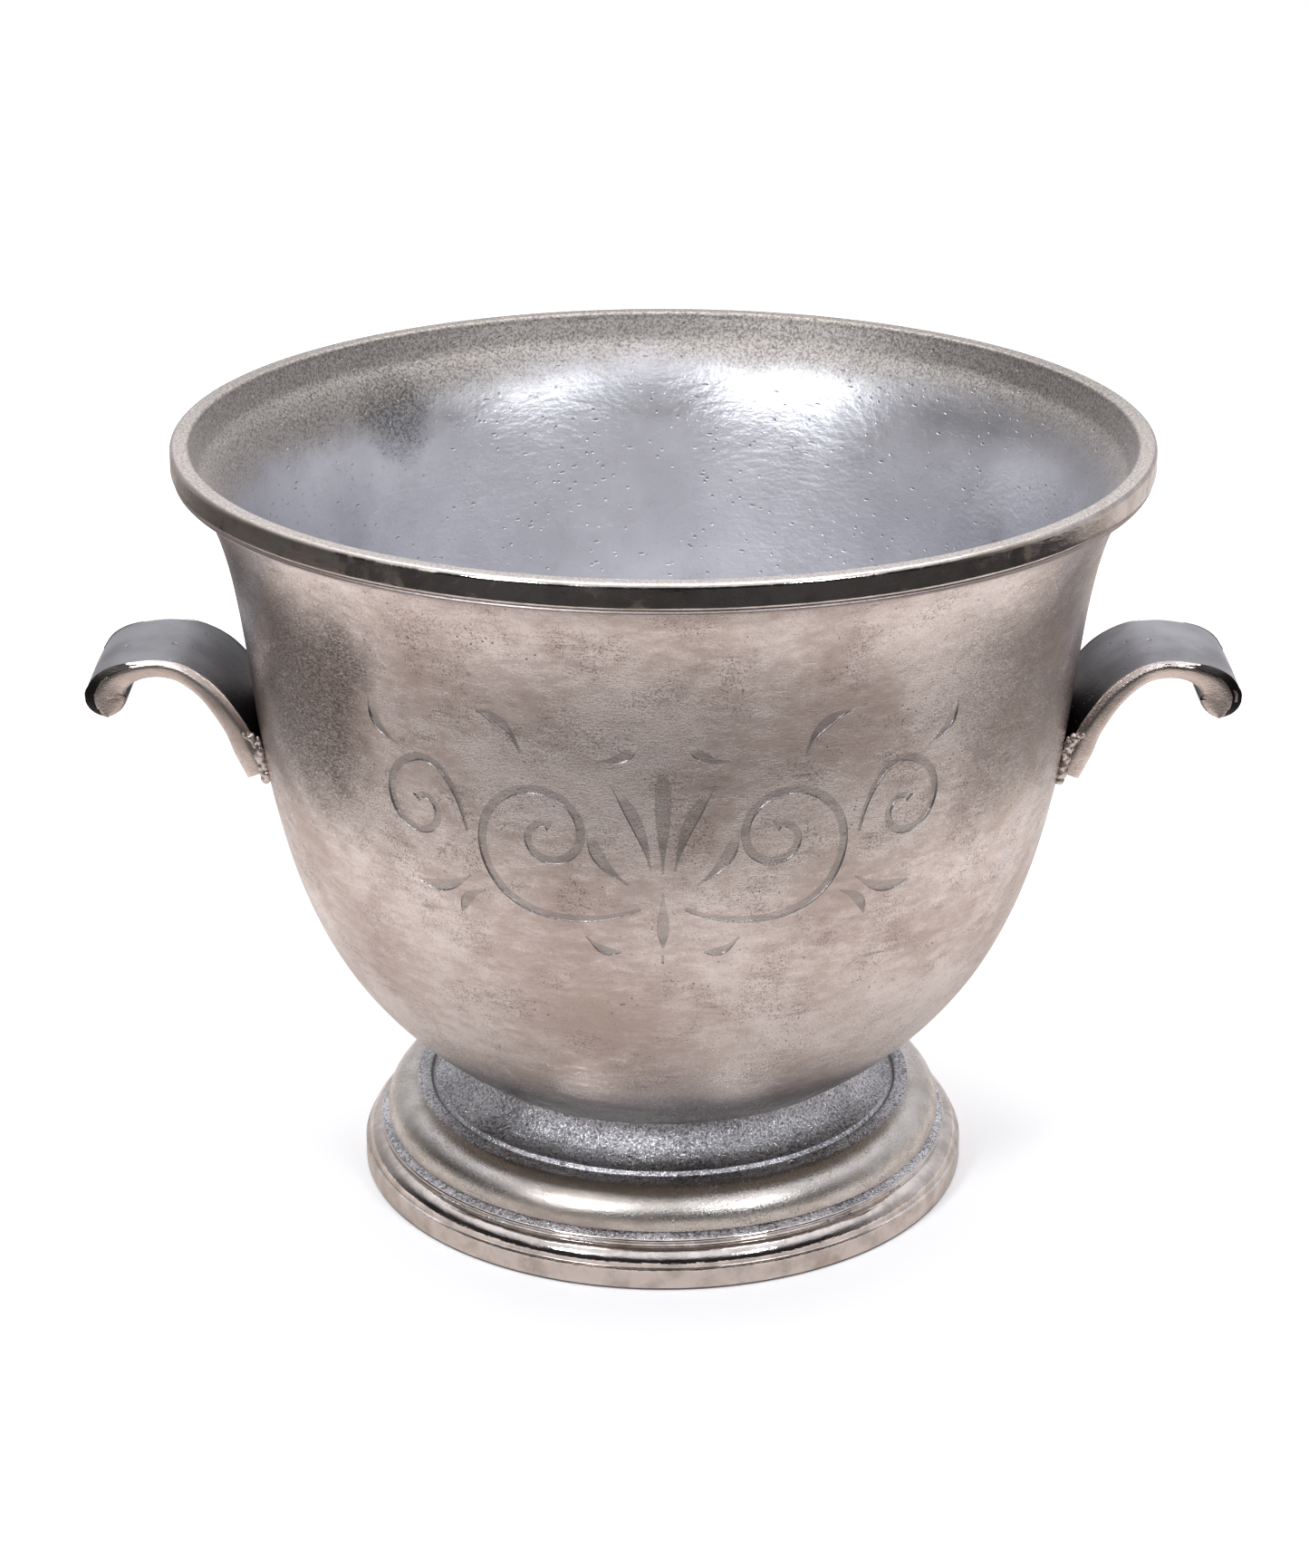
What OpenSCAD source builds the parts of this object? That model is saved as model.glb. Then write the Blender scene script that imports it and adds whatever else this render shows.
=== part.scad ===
// Footed champagne bucket: a cast bowl with a thick rim, a hollow cast foot bolted on from below,
// and two cast scroll handles welded to the wall. The origin is on the table, under the middle.

/* [Bowl] */
// Height of the rim above the table
rim_z = 269.5; // [262:0.5:276]
// Outer radius of the rim
rim_r = 165; // [162:0.5:168]
// Width of the flat lip on top of the rim
lip_w = 6.4; // [5:0.2:8]
// Height of the rim's outer band
rim_band_h = 8.5; // [6:0.5:10]
// Radius of the bead under the rim band
rim_bead_r = 0.9; // [0.5:0.1:1.2]
// Thickness of the bowl's wall
wall_t = 4.5; // [4:0.5:6]
// Radius of the bowl where the belly meets the wall
knee_r = 136.7; // [134:0.1:138]
// Height of the point where the belly meets the wall
knee_z = 151.5; // [146:0.5:156]
// Lean of the wall at that point, in degrees from upright
knee_lean = 10.2; // [8:0.1:12]
// Height of the bowl's inside floor
floor_z = 57; // [56:0.5:60]

/* [Foot] */
// Height of the foot, up to the bowl's seat
foot_h = 45; // [44:0.5:46]
// Outer radius of the foot's base
base_r = 107.5; // [105:0.5:110]
// Height of the flat band around the base
base_band_h = 8; // [7:0.5:9]
// Radius of the round moulding above the base band
ovolo_r = 5.6; // [5:0.1:6]
// Radius of the foot's large round moulding
torus_r = 11; // [10.5:0.1:11.5]
// Radius of the hollow curve that rises to the bowl
cove_r = 13; // [12.5:0.1:13.5]
// Radius of the foot's top, under the bowl
seat_r = 69; // [67:0.5:70]
// Thickness of the foot's wall
foot_wall_t = 4.5; // [4:0.5:6]

/* [Handles] */
// Width of a handle across the strap
handle_w = 46; // [38:1:54]
// Reach of a handle's tip from the bucket's axis
handle_reach = 197; // [192:0.5:202]
// Height of the top of a handle
handle_top_z = 193; // [190:0.5:196]
// Height of the lower end of a handle's stem
stem_z = 152; // [150:0.5:154]
// Gap kept between welded faces
weld_gap = 0.05; // [0.02:0.01:0.1]
// How far a weld bead stands out from the stem
bead_w = 2.4; // [1.5:0.1:3.5]

/* [Fasteners] */
// Diameter of the bolt that holds the foot
bolt_d = 8; // [6:1:8]
// Distance across the flats of the bolt's head
head_af = 13; // [12:0.5:14]
// Height of the bolt's head
head_h = 5.3; // [4:0.1:6]
// Outer diameter of the flat washer
washer_d = 24; // [20:1:28]
// Thickness of the flat washer
washer_t = 2; // [1.5:0.1:2.5]
// Outer diameter of the spring washer
spring_washer_d = 14.8; // [14:0.1:16]
// Thickness of the spring washer
spring_washer_t = 2.2; // [1.8:0.1:2.5]

/* [Hidden] */
$fn = 96;
steps = 14;
eps = 0.01;

lip_r = rim_r - lip_w;
rim_low_z = rim_z - rim_band_h;
boss_r = 16;
boss_drop = 9;
boss_z = foot_h - boss_drop;
core_r = 58;
core_h = 6;
tap_depth = 9.5;
tap_clear = 0.05;
bolt_clear = 0.5;
bolt_len = boss_drop + washer_t + spring_washer_t + tap_depth - 1;

// A point from a radius and an angle in degrees
function polar(r, a) = [r * cos(a), r * sin(a)];

// Points of a cubic curve from a to d, pulled towards b and c, without its first point
function curve(a, b, c, d, n = steps) = [
    for (i = [1:n])
        let (t = i / n, s = 1 - t)
            s * s * s * a + 3 * s * s * t * b + 3 * s * t * t * c + t * t * t * d
];

// Points of an arc around centre c, from angle a0 to angle a1, with both ends
function arc(c, r, a0, a1, n = steps) = [for (i = [0:n]) c + polar(r, a0 + (a1 - a0) * i / n)];

// Outside of the bowl, moved in by t, from the seat up to the rim
knee = [knee_r, knee_z];
up = polar(1, 90 - knee_lean);
inwards = polar(1, 180 - knee_lean);
function wall_start(t) = [76 - 0.8 * t, foot_h + 1.5 + (floor_z - foot_h - 1) * t / wall_t];
function wall_end(t) = [rim_r - 4.5 - 1.1 * t, rim_low_z - 1.8];
function wall_curve(t) =
    let (k = knee + t * inwards)
        concat(
            [wall_start(t)],
            curve(wall_start(t), wall_start(t) + [37 - 0.2 * t, 26.5], k - (49.5 - t) * up, k),
            curve(k, k + 37.6 * up, wall_end(t) - polar(25.7, 46.8), wall_end(t))
        );
function reversed(points) = [for (i = [len(points) - 1:-1:0]) points[i]];

bowl_outside = concat(
    [[core_r, foot_h + core_h], [core_r + 1, foot_h], [seat_r + 2, foot_h]],
    wall_curve(0),
    arc([rim_r - 1.6, rim_low_z - rim_bead_r], rim_bead_r, -80, 70, 6),
    [[rim_r, rim_low_z + 0.3]],
    arc([rim_r - 1, rim_z - 1], 1, 0, 90, 5)
);
bowl_inside = concat(
    arc([lip_r + 1, rim_z - 1], 1, 90, 180, 5),
    [[lip_r - 2.2, rim_low_z], [lip_r - 3, rim_low_z - 1.4]],
    reversed(wall_curve(wall_t)),
    [[62, floor_z], [0, floor_z]]
);
bowl_under = [
    [0, foot_h + tap_depth],
    [bolt_d / 2 + tap_clear, foot_h + tap_depth],
    [bolt_d / 2 + tap_clear, foot_h],
    [boss_r, foot_h],
    [boss_r + 1, foot_h + core_h]
];

// The bowl's solid shape with no inside, grown by g, used to fit pieces against the wall
module bowl_mass(g) {
    rotate_extrude($fn = 360) polygon(concat(
        [[0, foot_h + 2]],
        [for (p = wall_curve(-g)) p],
        [[0, rim_low_z - 1.8]]
    ));
}

module bowl() {
    color([0.62, 0.58, 0.56])
        rotate_extrude()
            polygon(concat(bowl_outside, bowl_inside, bowl_under));
}

torus_c = [base_r - 19.3, base_band_h + torus_r];
cove_c = [seat_r + 0.5 + cove_r, foot_h - 0.6];
foot_outside = concat(
    [[base_r - 0.8, 0], [base_r, 0.8], [base_r, base_band_h - 0.3], [base_r - 0.5, base_band_h]],
    arc([base_r - 1 - ovolo_r, base_band_h + 0.3], ovolo_r, 0, 84, 8),
    arc([base_r - 6.9, base_band_h + 7.2], 1.1, -60, 75, 5),
    [[torus_c[0] + torus_r - 0.6, torus_c[1] - 1.8]],
    arc(torus_c, torus_r, -4, 90, 12),
    [[torus_c[0] - 4, torus_c[1] + torus_r + 0.6], [torus_c[0] - 5.6, torus_c[1] + torus_r + 0.5]],
    arc(cove_c, cove_r, 268, 182, 10),
    [[seat_r - 1, foot_h]]
);
foot_hollow = [
    [seat_r - foot_wall_t - 4, foot_h - 7],
    [seat_r - foot_wall_t + 3, foot_h - 10.5],
    [torus_c[0] - 6 - foot_wall_t, torus_c[1] + torus_r - foot_wall_t + 0.5],
    [torus_c[0] - 1, torus_c[1] + torus_r - foot_wall_t],
    [torus_c[0] + 4.5, torus_c[1] + 4.5],
    [torus_c[0] + torus_r - foot_wall_t, torus_c[1] - 3],
    [base_r - ovolo_r - foot_wall_t + 1, base_band_h + 2],
    [base_r - foot_wall_t - 1.5, base_band_h - 2],
    [base_r - foot_wall_t - 1.5, 0]
];

module foot() {
    color([0.72, 0.70, 0.68])
        rotate_extrude()
            polygon(concat(
                foot_outside,
                [[bolt_d / 2 + bolt_clear, foot_h], [bolt_d / 2 + bolt_clear, boss_z]],
                [[boss_r, boss_z], [boss_r + 1, foot_h - 7]],
                foot_hollow
            ));
}

// Side view of the right handle: the stem, the arch, the rolled tip and the arch's underside
arch_top = [handle_reach - 19, handle_top_z];
tip = [handle_reach, handle_top_z - 12];
tip_low = [handle_reach - 9, handle_top_z - 19.2];
hook = [handle_reach - 17.4, handle_top_z - 8.2];
crotch = [140, stem_z + 17.8];
stem_bend = [148.5, stem_z + 18.2];
stem_end = [141.4, stem_z + 1.4];
stem_back = [132, stem_z - 2.5];
handle_outline = concat(
    [stem_back, crotch - [8, 0], crotch],
    curve(crotch, crotch + [10, 14.7], arch_top - [15, 0], arch_top),
    curve(arch_top, arch_top + [8.5, 0], tip + [-2.5, 8.5], tip, 8),
    curve(tip, tip - [0.5, 4], tip_low + [4.5, 0], tip_low, 8),
    curve(tip_low, tip_low - [4.5, 0], hook + [1.9, -4.8], hook, 8),
    curve(hook, hook + [-7.1, 3], stem_bend + [8, 14.3], stem_bend),
    curve(stem_bend, stem_bend - [2.6, 6], stem_end + [2.2, 5], stem_end, 4),
    curve(stem_end, stem_end - [0.9, 2], stem_back + [6, 1.6], stem_back, 4)
);

module strap(width) {
    rotate([90, 0, 0])
        linear_extrude(height = width, center = true)
            polygon(handle_outline);
}

module right_handle() {
    color([0.60, 0.60, 0.64])
        difference() {
            strap(handle_w);
            bowl_mass(weld_gap);
        }
}

module left_handle() {
    mirror([1, 0, 0]) right_handle();
}

// The bead follows the stem's two sides and runs under its lower end
bead_outline = [
    [stem_end[0] - 8, stem_z - 2 * bead_w],
    [stem_end[0] - 3, stem_z - 1.6 * bead_w],
    [stem_end[0] + 0.4, stem_z - 0.2 * bead_w],
    [stem_end[0] + 1.2, stem_z + 8],
    [crotch[0] + 2.6, crotch[1] - 1],
    [crotch[0] + 1, crotch[1] + bead_w],
    [crotch[0] - 8, crotch[1] + bead_w]
];

module right_handle_weld() {
    color([0.70, 0.66, 0.62])
        difference() {
            rotate([90, 0, 0])
                linear_extrude(height = handle_w + 2 * bead_w, center = true)
                    polygon(bead_outline);
            strap(handle_w);
            bowl_mass(weld_gap);
        }
}

module left_handle_weld() {
    mirror([1, 0, 0]) right_handle_weld();
}

washer_z = boss_z - washer_t;
lock_z = washer_z - spring_washer_t;
head_z = lock_z - head_h;

module foot_bolt() {
    color([0.50, 0.50, 0.52]) {
        translate([0, 0, lock_z - eps]) cylinder(h = bolt_len + eps, d = bolt_d);
        translate([0, 0, head_z]) cylinder(h = head_h, d = head_af / cos(30), $fn = 6);
    }
}

module ring(outer_d, hole_d, h) {
    difference() {
        cylinder(h = h, d = outer_d);
        translate([0, 0, -1]) cylinder(h = h + 2, d = hole_d);
    }
}

module foot_washer() {
    color([0.66, 0.66, 0.68])
        translate([0, 0, washer_z]) ring(washer_d, bolt_d + 0.4, washer_t);
}

module foot_lock_washer() {
    split = 1.2;
    color([0.56, 0.56, 0.58])
        translate([0, 0, lock_z])
            difference() {
                ring(spring_washer_d, bolt_d + 0.3, spring_washer_t);
                rotate([35, 0, 0]) translate([0, -split / 2, -4]) cube([spring_washer_d, split, 12]);
            }
}

bowl();
foot();
left_handle();
right_handle();
left_handle_weld();
right_handle_weld();
foot_bolt();
foot_washer();
foot_lock_washer();
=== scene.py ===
"""Looks of a footed champagne bucket in nickel-plated cast aluminium.

Lengths are written in millimetres and multiplied by MM where they meet Blender.
"""
import math

import bmesh
import bpy
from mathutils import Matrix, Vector


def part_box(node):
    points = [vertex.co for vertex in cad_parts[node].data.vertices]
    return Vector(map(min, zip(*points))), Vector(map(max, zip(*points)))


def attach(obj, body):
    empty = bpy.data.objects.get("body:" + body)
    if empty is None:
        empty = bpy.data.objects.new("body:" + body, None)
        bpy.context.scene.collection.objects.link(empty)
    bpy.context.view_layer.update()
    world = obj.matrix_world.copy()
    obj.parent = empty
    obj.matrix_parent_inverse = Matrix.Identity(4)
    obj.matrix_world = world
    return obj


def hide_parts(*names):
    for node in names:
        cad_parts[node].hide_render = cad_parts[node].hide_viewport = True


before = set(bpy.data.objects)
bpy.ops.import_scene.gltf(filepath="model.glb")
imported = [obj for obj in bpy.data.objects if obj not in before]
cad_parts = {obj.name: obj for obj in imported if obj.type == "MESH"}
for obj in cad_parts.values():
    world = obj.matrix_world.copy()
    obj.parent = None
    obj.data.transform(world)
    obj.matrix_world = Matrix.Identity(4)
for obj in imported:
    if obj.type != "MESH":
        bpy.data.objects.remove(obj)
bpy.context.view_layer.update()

MM = 0.001

# ---------------------------------------------------------------- driving sizes, in millimetres

RIM_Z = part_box("bowl")[1].z / MM
RIM_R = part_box("bowl")[1].x / MM
FOOT_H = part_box("foot")[1].z / MM
BASE_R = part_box("foot")[1].x / MM
HANDLE_W = (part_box("right_handle")[1].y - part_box("right_handle")[0].y) / MM
HANDLE_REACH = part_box("right_handle")[1].x / MM
HANDLE_TOP_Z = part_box("right_handle")[1].z / MM

LIP_W = 6.4
RIM_BAND_H = 8.5
BEAD_R = 0.9
WALL_T = 4.5
KNEE_R = 136.7
KNEE_Z = 151.5
KNEE_LEAN = 10.2
FLOOR_Z = 57
BASE_BAND_H = 8
OVOLO_R = 5.6
TORUS_R = 11
COVE_R = 13
SEAT_R = 69
FOOT_WALL_T = 5
STEM_Z = 152
BOLT_D = 8
BOSS_R = 16
BOSS_DROP = 9
CORE_R = 58
CORE_H = 6
TAP_DEPTH = 9.5

RIM_LOW_Z = RIM_Z - RIM_BAND_H
LIP_R = RIM_R - LIP_W
BOSS_Z = FOOT_H - BOSS_DROP
BUFFED_Z = RIM_Z - 17
SHOULDER_Z = 206
BELLY_SHADE_Z = FOOT_H + 28
MERGE_GAP = 0.02 * MM


# ---------------------------------------------------------------- points in a plane

def polar(radius, degrees):
    angle = math.radians(degrees)
    return Vector((radius * math.cos(angle), radius * math.sin(angle)))


def curve(a, b, c, d, count=14):
    """Points of a cubic curve from a to d, without a itself."""
    points = []
    for i in range(1, count + 1):
        t = i / count
        s = 1 - t
        points.append(s * s * s * a + 3 * s * s * t * b + 3 * s * t * t * c + t * t * t * d)
    return points


def arc(centre, radius, start, end, count):
    """Points of an arc, with both of its ends."""
    centre = Vector(centre)
    return [centre + polar(radius, start + (end - start) * i / count) for i in range(count + 1)]


def line(a, b, count):
    """Points of a straight line from a to b, without a itself."""
    return [a + (b - a) * i / count for i in range(1, count + 1)]


# ---------------------------------------------------------------- node building

def operator(operation, swap=False):
    def apply(self, other=None):
        terms = (other, self) if swap else (self, other)
        terms = {i: t for i, t in enumerate(terms) if t is not None}
        return self.bench.add("ShaderNodeMath", {"operation": operation}, terms)
    return apply


class Wire:
    """A node's output socket. Arithmetic on it adds Math nodes."""

    def __init__(self, bench, socket):
        self.bench = bench
        self.socket = socket

    __add__ = operator("ADD")
    __radd__ = operator("ADD", True)
    __sub__ = operator("SUBTRACT")
    __rsub__ = operator("SUBTRACT", True)
    __mul__ = operator("MULTIPLY")
    __rmul__ = operator("MULTIPLY", True)
    __truediv__ = operator("DIVIDE")
    __rtruediv__ = operator("DIVIDE", True)
    __pow__ = operator("POWER")
    __gt__ = operator("GREATER_THAN")
    __lt__ = operator("LESS_THAN")


class Bench:
    """Adds nodes to one tree, of materials or of geometry."""

    def __init__(self, tree):
        self.tree = tree
        self.nodes = tree.nodes

    def add(self, kind, settings=None, inputs=None, out=0):
        """A node of a kind, with its settings and inputs. Returns the output named or counted by out."""
        node = self.nodes.new(kind)
        for name, value in (settings or {}).items():
            setattr(node, name, value)
        for key, value in (inputs or {}).items():
            self.plug(self.inlet(node, key), value)
        return Wire(self, self.outlet(node, out))

    @staticmethod
    def inlet(node, key):
        if isinstance(key, int):
            return node.inputs[key]
        return next(s for s in node.inputs if key == s.identifier or (key == s.name and s.enabled))

    @staticmethod
    def outlet(node, key):
        if isinstance(key, int):
            return node.outputs[key]
        return next(s for s in node.outputs if key == s.identifier or (key == s.name and s.enabled))

    def plug(self, socket, value):
        if isinstance(value, Wire):
            self.tree.links.new(value.socket, socket)
        elif isinstance(value, (list, tuple)) and value and isinstance(value[0], Wire):
            for wire in value:
                self.tree.links.new(wire.socket, socket)
        else:
            socket.default_value = value

    def split(self, vector):
        node = self.nodes.new("ShaderNodeSeparateXYZ")
        self.plug(node.inputs[0], vector)
        return [Wire(self, s) for s in node.outputs]

    def join(self, x, y, z):
        return self.add("ShaderNodeCombineXYZ", None, {"X": x, "Y": y, "Z": z})

    def vector(self, operation, *terms, out=0):
        return self.add("ShaderNodeVectorMath", {"operation": operation}, dict(enumerate(terms)), out)

    def maths(self, operation, *terms):
        return self.add("ShaderNodeMath", {"operation": operation}, dict(enumerate(terms)))

    def ease(self, value, low, high, start=0.0, end=1.0):
        """start below low, end above high, and a smooth step between them."""
        return self.add(
            "ShaderNodeMapRange",
            {"interpolation_type": "SMOOTHSTEP"},
            {"Value": value, "From Min": low, "From Max": high, "To Min": start, "To Max": end},
        )

    def blend(self, factor, a, b):
        """Two colours mixed."""
        return self.add(
            "ShaderNodeMix",
            {"data_type": "RGBA", "blend_type": "MIX"},
            {"Factor_Float": factor, "A_Color": a, "B_Color": b},
            "Result_Color",
        )

    def noise(self, place, size, detail=3.0, rough=0.5, warp=0.0):
        """Cloudy noise whose features are about size millimetres across."""
        return self.add(
            "ShaderNodeTexNoise",
            None,
            {"Vector": place, "Scale": 1 / (size * MM), "Detail": detail, "Roughness": rough,
             "Distortion": warp},
        )

    def cells(self, place, size):
        """Distance to scattered points that are about size millimetres apart."""
        return self.add(
            "ShaderNodeTexVoronoi",
            {"feature": "F1"},
            {"Vector": place, "Scale": 1 / (size * MM)},
            "Distance",
        )


def geometry_tree(name, sizes):
    """An empty geometry tree with a geometry input, an output and one named input for each size."""
    tree = bpy.data.node_groups.new(name, "GeometryNodeTree")
    tree.interface.new_socket("Geometry", in_out="OUTPUT", socket_type="NodeSocketGeometry")
    tree.interface.new_socket("Geometry", in_out="INPUT", socket_type="NodeSocketGeometry")
    for label, kind in sizes:
        tree.interface.new_socket(label, in_out="INPUT", socket_type="NodeSocket" + kind)
    bench = Bench(tree)
    inlet = tree.nodes.new("NodeGroupInput")
    outlet = tree.nodes.new("NodeGroupOutput")
    given = {s.name: Wire(bench, s) for s in inlet.outputs if s.name}
    return tree, bench, given, outlet


def finish_tree(bench, outlet, geometry, material):
    """Ends a geometry tree in Realize Instances and Set Material."""
    real = bench.add("GeometryNodeRealizeInstances", None, {"Geometry": geometry})
    done = bench.add("GeometryNodeSetMaterial", None, {"Geometry": real, "Material": material})
    bench.plug(outlet.inputs[0], done)


def run_tree(source, tree, values, name):
    """Runs a geometry tree on an object and returns the result as a plain mesh object."""
    modifier = source.modifiers.new(tree.name, "NODES")
    modifier.node_group = tree
    for item in tree.interface.items_tree:
        if item.item_type == "SOCKET" and item.in_out == "INPUT" and item.name in values:
            modifier[item.identifier] = values[item.name]
    bpy.context.view_layer.update()
    graph = bpy.context.evaluated_depsgraph_get()
    mesh = bpy.data.meshes.new_from_object(source.evaluated_get(graph), depsgraph=graph)
    source.modifiers.remove(modifier)
    mesh.name = name
    while mesh.materials and mesh.materials[0] is None:
        mesh.materials.pop(index=0)
    made = bpy.data.objects.new(name, mesh)
    bpy.context.scene.collection.objects.link(made)
    return made


def drawn_line(name, strokes):
    """A curve object with one poly spline for each stroke of (x, y, z, radius) in millimetres."""
    data = bpy.data.curves.new(name, "CURVE")
    data.dimensions = "3D"
    for stroke in strokes:
        spline = data.splines.new("POLY")
        spline.points.add(len(stroke) - 1)
        for point, (x, y, z, radius) in zip(spline.points, stroke):
            point.co = (x * MM, y * MM, z * MM, 1)
            point.radius = radius
    made = bpy.data.objects.new(name, data)
    bpy.context.scene.collection.objects.link(made)
    return made


def drop(*objects):
    for o in objects:
        bpy.data.objects.remove(o)


# ---------------------------------------------------------------- finishes

def new_finish(name):
    material = bpy.data.materials.new(name)
    material.use_nodes = True
    material.node_tree.nodes.clear()
    return material, Bench(material.node_tree)


def close_finish(material, bench, inputs):
    shader = bench.nodes.new("ShaderNodeBsdfPrincipled")
    for key, value in inputs.items():
        bench.plug(Bench.inlet(shader, key), value)
    out = bench.nodes.new("ShaderNodeOutputMaterial")
    bench.tree.links.new(shader.outputs[0], out.inputs["Surface"])
    return material


def bump(bench, height, depth, under=None):
    """A bump whose height runs from 0 to 1 over depth millimetres."""
    inputs = {"Height": height, "Strength": 1.0, "Distance": depth * MM}
    if under is not None:
        inputs["Normal"] = under
    return bench.add("ShaderNodeBump", None, inputs)


def smeared(bench, place, along, up):
    """Object coordinates squeezed so that a pattern is drawn out along the wheel's direction."""
    return bench.vector("MULTIPLY", place, (1 / along, 1 / along, 1 / up))


def pits(bench, place, spacing, size, crowd):
    """Scattered round pits, 1 inside a pit, only where crowd is high."""
    near = bench.cells(place, spacing)
    return bench.ease(near, size * 0.55, size, 1, 0) * crowd


def satin_nickel(name="satin_nickel", light=(0.765, 0.71, 0.685, 1), deep=(0.50, 0.42, 0.385, 1),
                 wear=1.0, rough=0.32, shade_below=None, shoulders=None):
    """Worn satin nickel, clouded and stained, smeared by the wheel and finely pitted.

    Painted shade below a height, and a painted dark reflection, broken by a stipple, on the two front
    shoulders at another height."""
    material, b = new_finish(name)
    place = b.add("ShaderNodeTexCoord", out="Object")
    wheel = smeared(b, place, 1.0, 0.36)
    clouds = b.noise(place, 48, 3, 0.5, 0.3)
    mottle = b.noise(wheel, 9, 6, 0.72, 0.25)
    grain = b.noise(wheel, 1.5, 4, 0.75)
    fine = b.noise(place, 0.62, 2, 0.6)
    tone = b.ease(clouds * 0.45 + mottle * 0.4 + grain * 0.15, 0.37, 0.62)
    colour = b.blend(tone, deep, light)
    stain = b.ease(b.noise(place, 30, 5, 0.65, 0.8), 0.55, 0.72) * b.ease(mottle, 0.35, 0.62)
    colour = b.blend(stain * (0.48 * wear), colour, (0.42, 0.34, 0.255, 1))
    bloom = b.ease(b.noise(place, 22, 4, 0.6, 0.5), 0.58, 0.74)
    colour = b.blend(bloom * 0.35, colour, (0.60, 0.575, 0.60, 1))
    x, y, z = b.split(place)
    # Painted shade: the belly darkens below a height, standing in for the shadowed floor it reflects.
    if shade_below:
        belly_shade = b.ease(z / MM + 8 * (clouds - 0.5), shade_below - 17, shade_below, 1, 0)
        colour = b.blend(belly_shade * 0.9, colour, (0.135, 0.115, 0.095, 1))
    crowd = b.ease(b.noise(place, 17, 3, 0.6), 0.46, 0.66)
    # Painted dark reflection of the handles on the two front shoulders, stronger on the left and broken by a
    # stipple; more pits crowd there too.
    if shoulders:
        drift = 34 * (b.noise(place, 26, 4, 0.62) - 0.5)
        aside = b.maths("ABSOLUTE", b.maths("ABSOLUTE", x / MM + drift) - 112)
        level = b.maths("ABSOLUTE", z / MM - shoulders + drift)
        stipple_and_reflection_patch = b.ease(aside, 8, 30, 1, 0) * b.ease(level, 22, 52, 1, 0) * (y < 0)
        stipple_and_reflection_patch = stipple_and_reflection_patch * b.ease(x, -0.02, 0.02, 1, 0.55)
        dark = stipple_and_reflection_patch * b.ease(grain, 0.42, 0.58, 1, 0.3) * 0.95
        colour = b.blend(dark, colour, (0.10, 0.08, 0.07, 1))
        crowd = b.maths("MAXIMUM", crowd, stipple_and_reflection_patch)
    freckles = b.ease(fine * 0.6 + grain * 0.4, 0.505, 0.59) * (0.25 + 0.75 * crowd)
    colour = b.blend(freckles * (0.62 * wear), colour, (0.15, 0.12, 0.105, 1))
    streaks = b.ease(b.noise(smeared(b, place, 3.4, 0.42), 5.0, 4, 0.7), 0.56, 0.68) * crowd
    colour = b.blend(streaks * (0.5 * wear), colour, (0.22, 0.185, 0.165, 1))
    holes = pits(b, place, 2.6, 0.16, b.ease(b.noise(place, 15, 2, 0.5), 0.56, 0.66))
    colour = b.blend(holes * (0.8 * wear), colour, (0.07, 0.055, 0.05, 1))
    ground = bump(b, grain, 0.085)
    flecked = bump(b, fine, 0.03, ground)
    return close_finish(material, b, {
        "Base Color": colour,
        "Metallic": 1.0,
        "Roughness": rough - 0.09 * tone + 0.16 * freckles,
        "Normal": bump(b, 1 - holes, 0.10, flecked),
    })


def polished_nickel(name="polished_nickel", light=(0.70, 0.655, 0.62, 1), deep=(0.56, 0.51, 0.48, 1),
                    cloudy=1.0):
    """Buffed bright, with brown bloom, dark specks and dull clouds, which gather on the left."""
    material, b = new_finish(name)
    place = b.add("ShaderNodeTexCoord", out="Object")
    mottle = b.noise(place, 9, 5, 0.6)
    bloom = b.ease(b.noise(place, 24, 4, 0.6, 0.6), 0.5, 0.7)
    fine = b.noise(place, 0.7, 3, 0.7)
    x, _, _ = b.split(place)
    leftward = b.ease(x, -0.16, -0.02, 0.26, 0)
    dull = b.ease(b.noise(place, 12, 6, 0.7, 0.3) + leftward, 0.46, 0.74) * cloudy
    colour = b.blend(b.ease(mottle, 0.4, 0.65), light, deep)
    colour = b.blend(bloom * 0.45, colour, (0.44, 0.36, 0.28, 1))
    colour = b.blend(dull * 0.5, colour, (0.50, 0.42, 0.34, 1))
    specks = b.ease(fine, 0.60, 0.70) * b.ease(mottle, 0.42, 0.6)
    colour = b.blend(specks * 0.6, colour, (0.12, 0.10, 0.09, 1))
    ripple = bump(b, b.noise(smeared(b, place, 2.0, 0.6), 7, 4, 0.6), 0.22)
    return close_finish(material, b, {
        "Base Color": colour,
        "Metallic": 1.0,
        "Roughness": 0.05 + 0.05 * b.ease(mottle, 0.46, 0.7) + 0.34 * dull + 0.12 * specks,
        "Normal": bump(b, fine, 0.008, ripple),
    })


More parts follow.
